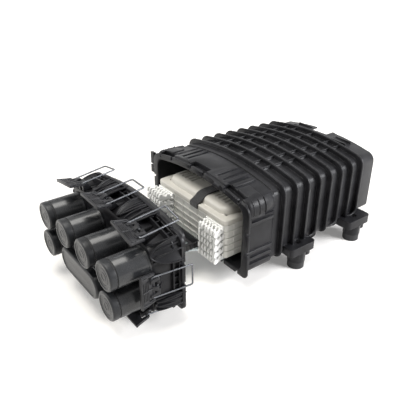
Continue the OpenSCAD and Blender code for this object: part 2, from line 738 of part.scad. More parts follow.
module slack_basket() color([0.1, 0.1, 0.1]) difference() {
    basket_x = carrier_x - basket_len - 1;
    union() {
        block([basket_x, -neck_hw + bracket_t + 0.4, bracket_top],
            [basket_x + basket_len, neck_hw - bracket_t - 0.4, bracket_top + 2]);
        for (x = [basket_x, basket_x + basket_len / 2, basket_x + basket_len - 2.5])
            block([x, -basket_hw, bracket_top + 4.6], [x + 2.5, basket_hw, bracket_top + basket_h]);
        for (x = [basket_x, basket_x + basket_len / 2, basket_x + basket_len - 2.5])
            block([x, -neck_hw + bracket_t + 0.4, bracket_top],
                [x + 2.5, neck_hw - bracket_t - 0.4, bracket_top + 6]);
        for (y = [-basket_hw, basket_hw - 2])
            block([basket_x, y, bracket_top + 4.6], [basket_x + basket_len, y + 2,
                bracket_top + basket_h]);
    }
    block([basket_x + 3, -neck_hw + 8, bracket_top + 5], [basket_x + basket_len - 3, neck_hw - 8,
        bracket_top + basket_h + 1]);
    for (x = [basket_x + 6, basket_x + basket_len / 2 + 5])
        block([x, -22, bracket_top - 1], [x + 20, 22, bracket_top + 3]);
}

// One splice tray: shallow open tray with walls, fibre spools and comb fingers in front
module tray(k) color([0.9, 0.89, 0.85]) {
    z = bracket_top + k * tray_h;
    mid = tray_x + tray_len / 2;
    translate([mid, 0, z]) difference() {
        linear_extrude(tray_h) polygon(rounded(tray_len, 2 * tray_hw, 9));
        translate([0, 0, tray_wall]) linear_extrude(tray_h)
            polygon(rounded(tray_len - 2 * tray_wall, 2 * (tray_hw - tray_wall), 9 - tray_wall));
        // Fibre entries through the front wall, one on each side
        for (side = [-1, 1])
            block([-tray_len / 2 - 1, side * (tray_hw - 28) - 18, tray_wall + 2],
                [-tray_len / 2 + tray_wall + 1, side * (tray_hw - 28) + 18, tray_h + 1]);
    }
    for (y = [-tray_hw / 2, tray_hw / 2]) translate([mid, y, z + 1]) difference() {
        cylinder(r = 26, h = tray_h - 3);
        translate([0, 0, -1]) cylinder(r = 24, h = tray_h);
    }
    for (side = [-1, 1]) comb(side, z);
}

module comb(side, z) {
    comb_y = tray_hw - 4 - (comb_count - 1) * comb_pitch;
    block([tray_x - 4, side > 0 ? comb_y - 2 : -tray_hw + 2, z],
        [tray_x + 1, side > 0 ? tray_hw - 2 : 2 - comb_y, z + tray_wall]);
    for (k = [0:comb_count - 1])
        translate([tray_x - comb_len, side * (comb_y + k * comb_pitch) - comb_t / 2, z]) {
            cube([comb_len + 1, comb_t, tray_h - 4]);
            translate([0, -0.8, 0]) cube([3.5, comb_t + 1.6, tray_h - 2.5]);
        }
}

// Lid over the stack: a thin moulding, open below, with a raised crown
module tray_cover() color([0.88, 0.86, 0.82]) {
    mid = tray_x + tray_len / 2;
    difference() {
        union() {
            translate([mid, 0, stack_top]) linear_extrude(cover_t)
                polygon(rounded(tray_len, 2 * tray_hw + 2, 6));
            translate([crown_x + crown_len / 2, 0, slab_top - 1]) linear_extrude(crown_h + 1)
                polygon(rounded(crown_len, 2 * crown_hw, 18));
        }
        translate([mid, 0, stack_top - 1]) linear_extrude(cover_t + 1 - cover_wall)
            polygon(rounded(tray_len - 2 * cover_wall, 2 * (tray_hw + 1 - cover_wall), 4));
        translate([crown_x + crown_len / 2, 0, stack_top]) linear_extrude(cover_t + crown_h
            - cover_wall) polygon(rounded(crown_len - 2 * cover_wall, 2 * (crown_hw - cover_wall),
            18 - cover_wall));
        for (side = [-1, 1]) translate([crown_x + crown_len / 2, side * crown_hw / 2 - 3, crown_top])
            linear_extrude(2, center = true) polygon(rounded(crown_len - 30, crown_hw - 26, 14));
    }
}

module tray_strap() color([0.08, 0.08, 0.08]) {
    y0 = strap_y - strap_w / 2;
    y1 = strap_y + strap_w / 2;
    front = tray_x - strap_t;
    back = tray_x + tray_len + strap_t;
    block([crown_x - strap_t, y0, crown_top], [crown_x + crown_len + strap_t, y1,
        crown_top + strap_t]);
    for (x = [crown_x - strap_t, crown_x + crown_len])
        block([x, y0, slab_top], [x + strap_t, y1, crown_top + strap_t]);
    block([front, y0, slab_top], [crown_x, y1, slab_top + strap_t]);
    block([crown_x + crown_len, y0, slab_top], [back, y1, slab_top + strap_t]);
    block([front, y0, stack_top], [tray_x, y1, slab_top + strap_t]);
    block([tray_x + tray_len, y0, bracket_top], [back, y1, slab_top + strap_t]);
}

front_foot = mouth_x + foot_first;
rear_foot = front_foot + foot_pitch;
dome();
foot_pad(front_foot, 1);  // foot_pad_1
foot_pad(front_foot, -1);  // foot_pad_2
foot_pad(rear_foot, 1);  // foot_pad_3
foot_pad(rear_foot, -1);  // foot_pad_4
base_plate();
seal_ring();
for (i = [0:5]) {
    port_tube(i);
    port_ring(i);
    port_cap(i);
}
oval_tube();
oval_ring();
oval_cap();
for (i = [0:7]) {
    lever(i);
    bail(i);
}
latch_pins();
tray_bracket();
bracket_screws();
slack_basket();
for (k = [0:4])
    tray(k);
tray_cover();
tray_strap();
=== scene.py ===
"""Dome splice closure, drawn open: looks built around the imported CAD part. Lengths in the script
are millimetres until a mesh or a material is made from them."""

import json
import math

import bmesh
import bpy
from mathutils import Matrix, Vector


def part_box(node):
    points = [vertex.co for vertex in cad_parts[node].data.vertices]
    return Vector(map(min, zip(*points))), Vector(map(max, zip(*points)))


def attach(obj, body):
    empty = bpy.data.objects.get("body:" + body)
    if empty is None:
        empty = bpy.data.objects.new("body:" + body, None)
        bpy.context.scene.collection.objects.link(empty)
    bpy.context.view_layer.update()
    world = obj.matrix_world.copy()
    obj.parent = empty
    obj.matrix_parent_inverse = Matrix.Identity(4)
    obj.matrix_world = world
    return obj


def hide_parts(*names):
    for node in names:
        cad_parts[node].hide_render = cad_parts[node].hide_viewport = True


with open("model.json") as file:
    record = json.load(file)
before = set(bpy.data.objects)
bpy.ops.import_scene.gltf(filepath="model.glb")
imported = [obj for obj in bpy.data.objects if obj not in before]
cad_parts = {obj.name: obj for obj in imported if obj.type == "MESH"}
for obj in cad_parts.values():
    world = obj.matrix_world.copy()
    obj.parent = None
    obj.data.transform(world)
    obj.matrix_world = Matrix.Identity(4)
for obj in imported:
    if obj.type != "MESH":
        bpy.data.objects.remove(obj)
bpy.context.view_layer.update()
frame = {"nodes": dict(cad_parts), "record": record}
MM = 0.001


# ---- Small tools ----
def linear(code):
    """An sRGB hex colour as the linear RGBA that sockets take."""
    parts = [int(code[i : i + 2], 16) / 255 for i in (1, 3, 5)]
    return [p / 12.92 if p <= 0.04045 else ((p + 0.055) / 1.055) ** 2.4 for p in parts] + [1.0]


def put(tree, kind, settings=None, inputs=None):
    """Adds a node with its settings, and its inputs as values or as the sockets that feed them."""
    node = tree.nodes.new(kind)
    for key, value in (settings or {}).items():
        setattr(node, key, value)
    for key, value in (inputs or {}).items():
        if isinstance(value, bpy.types.NodeSocket):
            tree.links.new(value, node.inputs[key])
        else:
            node.inputs[key].default_value = value
    return node


def low_high(name):
    """A CAD node's lowest and highest corners, in millimetres."""
    low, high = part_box(name)
    return [v / MM for v in low], [v / MM for v in high]


# ---- Materials ----
def pattern(tree, place, kind, size):
    """A pattern with features of `size` millimetres: cloudy, woven, or in crystal cells."""
    node, out, more = {"cloud": ("Noise", "Fac", {"Detail": 3.5, "Roughness": 0.65}),
        "weave": ("Checker", "Fac", {}), "cells": ("Voronoi", "Color", {})}[kind]
    return put(tree, "ShaderNodeTex" + node, None,
        {"Vector": place, "Scale": 1 / (size * MM), **more}).outputs[out]


def finish_of(name, dark, light, rough, mottle, grain, depth, edge, metallic=0.0, shades="cloud",
        texture="cloud", **shader):
    """A moulded, drawn or rolled surface: two shades mottled together, a fine grain in the bump
    and the gloss, and edges rounded by `edge` that carry a painted highlight in the paler shade.
    Sizes are millimetres."""
    mat = bpy.data.materials.new(name)
    mat.use_nodes = True
    tree = mat.node_tree
    tree.nodes.clear()
    place = put(tree, "ShaderNodeTexCoord").outputs["Object"]
    cloud = pattern(tree, place, shades, mottle)
    fine = pattern(tree, place, texture, grain)
    round_edge = put(tree, "ShaderNodeBevel", {"samples": 6}, {"Radius": edge * MM})
    flat = put(tree, "ShaderNodeNewGeometry")
    facing = put(tree, "ShaderNodeVectorMath", {"operation": "DOT_PRODUCT"},
        {0: round_edge.outputs["Normal"], 1: flat.outputs["Normal"]})
    # Painted highlight: the paler shade is laid where the rounded edge's normal turns away from
    # the flat face
    painted_edge_highlight = put(tree, "ShaderNodeMapRange", None, {"Value": facing.outputs["Value"],
        "From Min": 0.985, "From Max": 0.8, "To Min": 0.0, "To Max": 0.55})
    tone = put(tree, "ShaderNodeMapRange", None,
        {"Value": cloud, "From Min": 0.3, "From Max": 0.7, "To Max": 0.45})
    share = put(tree, "ShaderNodeMath", {"operation": "ADD", "use_clamp": True},
        {0: painted_edge_highlight.outputs["Result"], 1: tone.outputs["Result"]})
    colour = put(tree, "ShaderNodeMix", {"data_type": "RGBA"},
        {"Factor": share.outputs["Value"], 6: linear(dark), 7: linear(light)})
    gloss = put(tree, "ShaderNodeMapRange", None, {"Value": fine, "From Min": 0.3,
        "From Max": 0.7, "To Min": rough - 0.05, "To Max": rough + 0.06})
    bump = put(tree, "ShaderNodeBump", None, {"Height": fine, "Strength": 0.35,
        "Distance": depth * MM, "Normal": round_edge.outputs["Normal"]})
    skin = put(tree, "ShaderNodeBsdfPrincipled", None, {"Base Color": colour.outputs[2],
        "Roughness": gloss.outputs["Result"], "Metallic": metallic,
        "Normal": bump.outputs["Normal"],
        **{key.replace("_", " "): value for key, value in shader.items()}})
    put(tree, "ShaderNodeOutputMaterial", None, {"Surface": skin.outputs["BSDF"]})
    return mat


# Injection-moulded polypropylene, spark-eroded mould: near black with a soft grey sheen
dome_pp = finish_of("moulded_polypropylene_dome", "#121214", "#38383b", 0.36, 45, 0.9, 0.06, 0.9,
    Specular_IOR_Level=0.16)
# The same polypropylene from a smoother mould: a little more shine on the base
base_pp = finish_of("moulded_polypropylene_base", "#121214", "#2d2d30", 0.33, 30, 0.8, 0.05, 0.6,
    Specular_IOR_Level=0.16)
# Satin polish in a turned mould: the tubes and caps show a broad, soft band of light
port_pp = finish_of("satin_polypropylene_ports", "#212224", "#3c3d3f", 0.25, 40, 0.7, 0.03, 0.7,
    Specular_IOR_Level=0.4)
cap_pp = finish_of("satin_polypropylene_caps", "#1f2022", "#3a3b3d", 0.3, 25, 0.7, 0.03, 0.8,
    Specular_IOR_Level=0.22)
# Glass-filled nylon: harder and greyer, with a faint fibre mottle
lever_pa = finish_of("glass_filled_nylon_levers", "#19191b", "#3c3c3f", 0.34, 12, 0.6, 0.05, 0.6,
    Specular_IOR_Level=0.2)
basket_pp = finish_of("moulded_polypropylene_basket", "#171718", "#303032", 0.45, 20, 0.8, 0.04,
    0.4)
# ABS trays: warm off-white, even and slightly soft-looking; the lid is greyer, the combs whiter
tray_abs = finish_of("moulded_abs_trays", "#d2d1cb", "#e6e5e0", 0.4, 60, 0.8, 0.02, 0.4)
cover_abs = finish_of("moulded_abs_cover", "#bdbab2", "#d2cfc7", 0.38, 70, 0.8, 0.02, 0.8)
comb_abs = finish_of("moulded_abs_combs", "#f0f0ee", "#fbfbf9", 0.36, 30, 0.8, 0.02, 0.5)
# Moulded EPDM and silicone: matt, dark, with no edge shine
seal_epdm = finish_of("moulded_epdm_seals", "#0e0e0f", "#1a1a1b", 0.62, 15, 0.5, 0.03, 0.3)
foot_epdm = finish_of("moulded_epdm_feet", "#18181a", "#2a2a2c", 0.6, 15, 0.7, 0.06, 0.8)
# Drawn stainless wire: grey rather than mirror-bright, as it mostly reflects the dark mouldings
wire_steel = finish_of("drawn_stainless_wire", "#54565a", "#84868a", 0.3, 6, 0.3, 0.01, 0.3, 1.0)
# Zinc-plated sheet: bright, in crystal spangles a few millimetres across
zinc_sheet = finish_of("galvanised_steel_sheet", "#a9b1b3", "#d3dbdc", 0.32, 4, 0.5, 0.015, 0.3,
    1.0, shades="cells")
screw_zinc = finish_of("zinc_plated_screws", "#a8a9a6", "#cdcecb", 0.28, 4, 0.3, 0.01, 0.3, 1.0)
# Woven nylon hook-and-loop strap: black and matt, with its weave and a fuzzy sheen
strap_nylon = finish_of("woven_nylon_strap", "#101011", "#29292b", 0.8, 8, 0.9, 0.25, 0.5,
    texture="weave", Sheen_Weight=0.35)

BY_SLOT = {
    "dome_plastic": dome_pp, "base_plastic": base_pp, "port_plastic": port_pp,
    "cap_plastic": cap_pp, "lever_plastic": lever_pa, "basket_plastic": basket_pp,
    "tray_plastic": tray_abs, "cover_plastic": cover_abs, "seal_rubber": seal_epdm,
    "foot_rubber": foot_epdm, "latch_steel": wire_steel, "galvanised_sheet": zinc_sheet,
    "screw_steel": screw_zinc, "strap_fabric": strap_nylon,
}
for part in frame["record"]["subparts"]:
    for slot in frame["nodes"][part["node"]].material_slots:
        slot.material = BY_SLOT[part["material_slot"]]

# ---- Measures shared with the CAD source, in millimetres ----
SPIGOT_LEN = 12
MOUTH_X = low_high("dome")[0][0]
FACE_X = low_high("base_plate")[1][0] - SPIGOT_LEN
PANEL_X = low_high("port_tube_1")[1][0]
ARCH_DROP, ARCH_HW = 13, 110
LIP_HW, LIP_LOW, LIP_TOP, FLANGE_TOP = 129, 24, 166, 163
LATCH_Y, SIDE_Z = 88, 88
TOP_ROLL = math.degrees(math.atan(2 * ARCH_DROP * LATCH_Y / ARCH_HW**2))


def crown(y, top):
    return top - ARCH_DROP * (y / ARCH_HW) ** 2


LATCHES = [(-TOP_ROLL, LATCH_Y, crown(LATCH_Y, LIP_TOP)), (0, 0, LIP_TOP),
    (TOP_ROLL, -LATCH_Y, crown(LATCH_Y, LIP_TOP)), (90, -LIP_HW, SIDE_Z),
    (180, -LATCH_Y, LIP_LOW), (180, 0, LIP_LOW), (180, LATCH_Y, LIP_LOW), (-90, LIP_HW, SIDE_Z)]
PIVOT = Vector((-45, 0, -2))
CRANK, LEVER_TILT, WIRE_R, BAIL_HW = 10, 9, 1.5, 17


def arc(cy, cz, r, start, stop, steps=8):
    turns = [math.radians(start + (stop - start) * k / steps) for k in range(steps + 1)]
    return [(cy + r * math.cos(a), cz + r * math.sin(a)) for a in turns]


def outline(hw, low, top, r, r_low, steps=10):
    """The closure's section as points in (y, z): level floor, upright sides, arched crown."""
    shoulder = hw - r
    over = [(y, crown(y, top)) for k in range(steps, -steps - 1, -1)
        for y in [shoulder * k / steps]]
    return (arc(-hw + r_low, low + r_low, r_low, 180, 270) + arc(shoulder + r - r_low, low + r_low,
        r_low, 270, 360) + arc(shoulder, crown(shoulder, top) - r, r, 0, 78) + over
        + arc(-shoulder, crown(shoulder, top) - r, r, 102, 180))


def latch_frame(x, i):
    roll, y, z = LATCHES[i]
    return Matrix.Translation((x, y, z)) @ Matrix.Rotation(math.radians(roll), 4, "X")


# ---- Mesh tools; every mesh is drawn in millimetres ----
def add_mesh(bm, points, faces, place=None):
    verts = [bm.verts.new(place @ Vector(p) if place else p) for p in points]
    for face in faces:
        bm.faces.new([verts[k] for k in face])


def lofted(bm, rings, place=None, closed=False, caps=True):
    """Joins rings of as many points each. The ends are filled unless the loft is closed."""
    n, count = len(rings[0]), len(rings)
    points = [p for ring in rings for p in ring]
    faces = [(a * n + k, a * n + (k + 1) % n, b * n + (k + 1) % n, b * n + k)
        for a in range(count - (not closed)) for b in [(a + 1) % count] for k in range(n)]
    if caps and not closed:
        faces += [tuple(range(n))[::-1], tuple(range((count - 1) * n, count * n))]
    add_mesh(bm, points, faces, place)


def block(bm, low, high, place=None):
    """A box between two corners."""
    (x0, y0, z0), (x1, y1, z1) = low, high
    lofted(bm, [[(x, y0, z0), (x, y1, z0), (x, y1, z1), (x, y0, z1)] for x in (x0, x1)], place)


def prism(bm, points, low, high, place=None):
    """A polygon in (x, z), drawn from y = low to y = high."""
    lofted(bm, [[(x, y, z) for x, z in points] for y in (low, high)], place)


def swept(bm, path, radius, place=None, closed=False, sides=8, flat=1.0, turn=0.0):
    """A round or flattened bead along a path, with its rings turned as little as they can be."""
    path = [Vector(p) for p in path]
    count, rings, up = len(path), [], None
    for k, point in enumerate(path):
        ahead = path[(k + 1) % count] if closed or k + 1 < count else point
        behind = path[k - 1] if closed or k else point
        along = (ahead - behind).normalized()
        if up is None:
            up = along.cross(Vector((0.3, 0.2, 1.0)) if abs(along.z) < 0.9 else Vector((1, 0, 0)))
        up = (up - along * up.dot(along)).normalized()
        side = along.cross(up)
        rings.append([point + radius * (up * math.cos(a) + side * math.sin(a) * flat)
            for s in range(sides) for a in [2 * math.pi * s / sides + turn]])
    lofted(bm, rings, place, closed)


def turned(bm, profile, place, steps=64):
    """A profile of (radius, height) points turned about Z: its ends are on the axis or joined."""
    closed = profile[0][0] > 0
    rings = [[(max(r, 1e-4) * math.cos(a), max(r, 1e-4) * math.sin(a), h) for k in range(steps)
        for a in [2 * math.pi * k / steps]] for r, h in profile]
    lofted(bm, rings, place, closed, caps=not closed)


def piece(name, bm, mat, body, stands_for=(), angle=32):
    """Makes a mesh in millimetres a smooth piece that rides on a body and stands for nodes."""
    bmesh.ops.remove_doubles(bm, verts=bm.verts, dist=0.002)
    bmesh.ops.recalc_face_normals(bm, faces=bm.faces)
    bmesh.ops.scale(bm, vec=(MM, MM, MM), verts=bm.verts)
    mesh = bpy.data.meshes.new(name)
    bm.to_mesh(mesh)
    bm.free()
    mesh.materials.clear()
    mesh.materials.append(mat)
    mesh.shade_smooth()
    mesh.set_sharp_from_angle(angle=math.radians(angle))
    obj = bpy.data.objects.new(name, mesh)
    bpy.context.scene.collection.objects.link(obj)
    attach(obj, body)
    if stands_for:
        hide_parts(*stands_for)
    return obj


def softened(name, node, mat, body, width, segments=2):
    """A CAD node's mesh, merged and with its outer edges rounded where there is room for it."""
    bm = bmesh.new()
    bm.from_mesh(frame["nodes"][node].data)
    bmesh.ops.scale(bm, vec=(1 / MM,) * 3, verts=bm.verts)
    bmesh.ops.remove_doubles(bm, verts=bm.verts, dist=0.002)
    bmesh.ops.dissolve_limit(bm, angle_limit=math.radians(0.6), verts=bm.verts, edges=bm.edges)
    tight = {v for e in bm.edges if e.calc_length() < 2.4 * width for v in e.verts}
    edges = [e for e in bm.edges if e.is_manifold and e.is_convex
        and e.calc_face_angle() > math.radians(38) and not tight & set(e.verts)]
    bmesh.ops.bevel(bm, geom=edges, offset=width, segments=segments, profile=0.5,
        affect="EDGES", clamp_overlap=False)
    return piece(name, bm, mat, body, (node,))


# ---- Geometry Nodes ----
def new_tree(name, inputs):
    """An empty tree with a geometry in and out, and an input for each size."""
    tree = bpy.data.node_groups.new(name, "GeometryNodeTree")
    tree.interface.new_socket("Geometry", in_out="INPUT", socket_type="NodeSocketGeometry")
    for label, kind in inputs:
        tree.interface.new_socket(label, in_out="INPUT", socket_type="NodeSocket" + kind)
    tree.interface.new_socket("Geometry", in_out="OUTPUT", socket_type="NodeSocketGeometry")
    return tree, put(tree, "NodeGroupInput")


def row_tree():
    """Repeats the mesh it is given along a step, each copy scaled a little less or more."""
    tree, given = new_tree("row_of_copies", [("Count", "Int"), ("Step", "Vector"),
        ("Shrink", "Vector"), ("Spread", "Vector"), ("Seed", "Int"), ("Material", "Material")])
    g = given.outputs
    line = put(tree, "GeometryNodeMeshLine", None, {"Count": g["Count"], "Offset": g["Step"]})
    index = put(tree, "GeometryNodeInputIndex")
    less = put(tree, "ShaderNodeVectorMath", {"operation": "SCALE"},
        {0: g["Shrink"], "Scale": index.outputs[0]})
    size = put(tree, "ShaderNodeVectorMath", {"operation": "SUBTRACT"},
        {0: (1.0, 1.0, 1.0), 1: less.outputs[0]})
    wide = put(tree, "ShaderNodeVectorMath", {"operation": "SCALE"},
        {0: g["Spread"], "Scale": -1.0})
    tilt = put(tree, "FunctionNodeRandomValue", {"data_type": "FLOAT_VECTOR"},
        {0: wide.outputs[0], 1: g["Spread"], "Seed": g["Seed"]})
    copies = put(tree, "GeometryNodeInstanceOnPoints", None, {"Points": line.outputs[0],
        "Instance": g["Geometry"], "Rotation": tilt.outputs[0], "Scale": size.outputs[0]})
    real = put(tree, "GeometryNodeRealizeInstances", None, {"Geometry": copies.outputs[0]})
    dressed = put(tree, "GeometryNodeSetMaterial", None,
        {"Geometry": real.outputs[0], "Material": g["Material"]})
    put(tree, "NodeGroupOutput", None, {0: dressed.outputs[0]})
    return tree


def wire_tree():
    """Draws a round wire along the edges it is given, with its corners bent to a radius."""
    tree, given = new_tree("bent_wire", [("Radius", "Float"), ("Bend", "Float"),
        ("Sides", "Int"), ("Material", "Material")])
    g = given.outputs
    line = put(tree, "GeometryNodeMeshToCurve", None, {"Mesh": g["Geometry"]})
    bent = put(tree, "GeometryNodeFilletCurve", {"mode": "POLY"},
        {"Curve": line.outputs[0], "Count": 6, "Radius": g["Bend"], "Limit Radius": True})
    round_ = put(tree, "GeometryNodeCurvePrimitiveCircle", None,
        {"Resolution": g["Sides"], "Radius": g["Radius"]})
    wire = put(tree, "GeometryNodeCurveToMesh", None, {"Curve": bent.outputs[0],
        "Profile Curve": round_.outputs[0], "Fill Caps": True})
    real = put(tree, "GeometryNodeRealizeInstances", None, {"Geometry": wire.outputs[0]})
    dressed = put(tree, "GeometryNodeSetMaterial", None,
        {"Geometry": real.outputs[0], "Material": g["Material"]})
    put(tree, "NodeGroupOutput", None, {0: dressed.outputs[0]})
    return tree


ROW, WIRE = row_tree(), wire_tree()


def grown(bm, tree, values, mat):
    """Runs a tree on a mesh in millimetres, and gives back what it makes, in millimetres."""
    mesh = bpy.data.meshes.new("seed")
    bm.to_mesh(mesh)
    bm.free()
    obj = bpy.data.objects.new("seed", mesh)
    bpy.context.scene.collection.objects.link(obj)
    modifier = obj.modifiers.new("grow", "NODES")
    modifier.node_group = tree
    for item in tree.interface.items_tree:
        if item.in_out == "INPUT" and item.name in values:
            modifier[item.identifier] = values[item.name]
        elif item.in_out == "INPUT" and item.name == "Material":
            modifier[item.identifier] = mat
    bpy.context.view_layer.update()
    view = bpy.context.evaluated_depsgraph_get()
    made = bpy.data.meshes.new_from_object(obj.evaluated_get(view), depsgraph=view)
    out = bmesh.new()
    out.from_mesh(made)
    bpy.data.objects.remove(obj)
    bpy.data.meshes.remove(mesh)
    bpy.data.meshes.remove(made)
    return out


def moved(bm, place):
    bmesh.ops.transform(bm, matrix=place, verts=bm.verts)
    return bm


def joined(*parts):
    """Several meshes in one; the first takes the others in."""
    whole = parts[0]
    for part in parts[1:]:
        mesh = bpy.data.meshes.new("part")
        part.to_mesh(mesh)
        part.free()
        whole.from_mesh(mesh)
        bpy.data.meshes.remove(mesh)
    return whole


# ---- Dome ----
RIBS, RIB_X, RIB_PITCH, RIB_MID_Z = 8, MOUTH_X + 78, 27.7, 102
BODY_HW, BODY_LOW, BODY_TOP, RIB_H, BEAD_R = 118, 31, 168, 8, 2.15
RIB_BELOW, RIB_CORNER_R, RIB_LOW_R = 3, 20, 13
# How much smaller each rib is than the last, as a share of its half width and of its height
RIB_SHRINK = (0, 1 / (BODY_HW + RIB_H), 2.5 / 148)
softened("dome_shell", "dome", dome_pp, "dome", 1.2)
rib = bmesh.new()
crest = RIB_H - BEAD_R
swept(rib, [(0, y, z - RIB_MID_Z) for y, z in outline(BODY_HW + crest,
    BODY_LOW - RIB_BELOW + BEAD_R, BODY_TOP + crest, RIB_CORNER_R - BEAD_R / 2, RIB_LOW_R, 14)],
    BEAD_R, closed=True, sides=12)
ribs = grown(rib, ROW, {"Count": RIBS, "Step": (RIB_PITCH, 0, 0),
    "Shrink": RIB_SHRINK, "Spread": (0, 0, 0), "Seed": 0}, dome_pp)
piece("dome_rib_beads", moved(ribs, Matrix.Translation((RIB_X, 0, RIB_MID_Z))), dome_pp, "dome",
    angle=60)
# Bends that join pairs of ribs low on each side
bends = bmesh.new()
for first in (2, 4, 6):
    for side in (-1, 1):
        x0 = RIB_X + RIB_PITCH * first
        y = side * (BODY_HW + crest - first - 0.5)
        path = [(x0, y, 74), (x0, y, 60)] + [(x0 + RIB_PITCH / 2 - RIB_PITCH / 2 * math.cos(a), y,
            54 - 9 * math.sin(a)) for k in range(13) for a in [math.pi * k / 12]] + [
            (x0 + RIB_PITCH, y, 60), (x0 + RIB_PITCH, y, 74)]
        swept(bends, path, BEAD_R, sides=10)
piece("dome_rib_bends", bends, dome_pp, "dome", angle=60)
# Rolled bead around the mouth, on the lip's face
RIM_R, RIM_IN = 1.6, 6.6
rim = bmesh.new()
swept(rim, [(MOUTH_X + RIM_R, y, z) for y, z in outline(LIP_HW - RIM_IN, LIP_LOW + 6.4,
    LIP_TOP - RIM_IN, 12, 4, 14)], RIM_R, closed=True, sides=8)
# Tabs that stand out beside the mouth, and fenders around the collar's upper corners
TAB_T, TAB_OUT = 5.5, 137.5
for z0, z1 in ((110, 124), (127, 149)):
    prism(rim, [(MOUTH_X, z0), (MOUTH_X + TAB_T, z0 + 1), (MOUTH_X + TAB_T, z1 - 1),
        (MOUTH_X, z1)], LIP_HW - 1, TAB_OUT)
FENDER_Y, FENDER_Z, FENDER_R = 104, 138, 16
for side in (-1, 1):
    wraps = []
    for x, thick in ((5, 2), (6.5, 4.5), (9, 5.5), (34, 5), (54, 3.5), (57, 1.5)):
        over = arc(FENDER_Y, FENDER_Z, FENDER_R + thick, -22, 56, 10)
        under = arc(FENDER_Y, FENDER_Z, FENDER_R - 1.5, 56, -22, 10)
        wraps.append([(MOUTH_X + x, side * y, z) for y, z in over + under])
    lofted(rim, wraps)
    for x in (14, 26, 38):
        swept(rim, [(MOUTH_X + x, side * y, z) for y, z in arc(FENDER_Y, FENDER_Z, FENDER_R + 5.2,
            -18, 52, 10)], 1.2, sides=8)
piece("dome_mouth_bead", rim, dome_pp, "dome", angle=60)

# ---- Ports: tubes and caps ----
PORTS = [(96, 111), (32, 111), (-32, 111), (-96, 111), (96, 61.5), (-96, 61.5)]
PORT_R, BORE_R, PORT_LEN, RING_T, CAP_GAP, CAP_T, PLUG = 22.25, 19, 48.5, 1.6, 0.3, 10, 14
tube_profile = [(BORE_R, 0), (PORT_R + 1, 0), (PORT_R + 1, 1.6), (PORT_R + 0.7, 2.3),
    (PORT_R + 0.25, 2.9), (PORT_R, 4), (PORT_R, PORT_LEN - 0.6), (PORT_R - 0.2, PORT_LEN - 0.15),
    (PORT_R - 0.6, PORT_LEN), (BORE_R, PORT_LEN)]
cap_profile = [(0, -PLUG), (BORE_R - 0.3, -PLUG), (BORE_R - 0.08, -PLUG + 0.6), (BORE_R - 0.08, 0),
    (PORT_R - 0.5, 0), (PORT_R, 0.5), (PORT_R, CAP_T - 2.6)] + [
    (PORT_R - 2.6 + 2.6 * math.cos(a), CAP_T - 2.6 + 2.6 * math.sin(a)) for a in
    [math.radians(d) for d in (18, 36, 54, 72, 88)]] + [(PORT_R - 4.2, CAP_T - 0.05),
    (PORT_R - 4.8, CAP_T - 0.7), (PORT_R - 5.6, CAP_T - 1.0), (13.2, CAP_T - 0.95),
    (12.9, CAP_T - 1.35), (12.3, CAP_T - 1.35), (12.0, CAP_T - 0.9), (6.8, CAP_T - 0.85),
    (6.5, CAP_T - 0.45), (5.4, CAP_T - 0.45), (5.1, CAP_T - 0.9), (0, CAP_T - 0.85)]
for i, (y, z) in enumerate(PORTS):
    on_panel = Matrix.Translation((PANEL_X, y, z)) @ Matrix.Rotation(math.radians(-90), 4, "Y")
    tube = bmesh.new()
    turned(tube, tube_profile, on_panel)
    # Raised mark along the top of the tube
    swept(tube, [(PANEL_X - h, y, z + PORT_R + 0.05) for h in (PORT_LEN - 21, PORT_LEN - 20,
        PORT_LEN - 4, PORT_LEN - 3)], 0.9, sides=8)
    piece(f"port_{i + 1}_tube", tube, port_pp, "base", (f"port_tube_{i + 1}",))
    cap = bmesh.new()
    turned(cap, cap_profile, on_panel @ Matrix.Translation((0, 0, PORT_LEN + RING_T + CAP_GAP)))
    piece(f"port_{i + 1}_cap", cap, cap_pp, f"port_cap_{i + 1}",
        (f"port_cap_{i + 1}",))


def stadium(hw, hh, steps=16):
    """An oval of two half circles, in (y, z)."""
    right = [(hw - hh + hh * math.cos(a), hh * math.sin(a)) for k in range(steps + 1)
        for a in [math.pi * (k / steps - 0.5)]]
    return right + [(-y, -z) for y, z in right]


OVAL_HW, OVAL_HH, OVAL_Z, OVAL_LEN, OVAL_WALL = 60, 21, 58.5, 44, 3
def oval_rings(steps):
    """Rings of an oval, from (inset from its outer surface, height over the panel) pairs."""
    return [[(PANEL_X - h, y, OVAL_Z + z) for y, z in stadium(OVAL_HW - s, OVAL_HH - s)]
        for s, h in steps]


oval = bmesh.new()
lofted(oval, oval_rings([(OVAL_WALL, 0), (-1, 0), (-1, 1.6), (-0.6, 2.4), (0, 3.6),
    (0, OVAL_LEN - 0.6), (0.6, OVAL_LEN), (OVAL_WALL, OVAL_LEN)]), closed=True)
piece("oval_port_tube", oval, port_pp, "base", ("oval_tube",))
lid = bmesh.new()
at = OVAL_LEN + RING_T + CAP_GAP
lofted(lid, oval_rings([(OVAL_WALL + 0.3, at - PLUG), (OVAL_WALL + 0.08, at - PLUG + 0.6),
    (OVAL_WALL + 0.08, at), (0.5, at), (0, at + 0.5), (0, at + CAP_T - 3), (0.3, at + CAP_T - 1.7),
    (1.2, at + CAP_T - 0.6), (2.6, at + CAP_T), (4.6, at + CAP_T), (5.2, at + CAP_T - 0.8),
    (6.2, at + CAP_T - 1.0), (19, at + CAP_T - 0.6)]))
piece("oval_port_cap", lid, cap_pp, "oval_cap", ("oval_cap",))

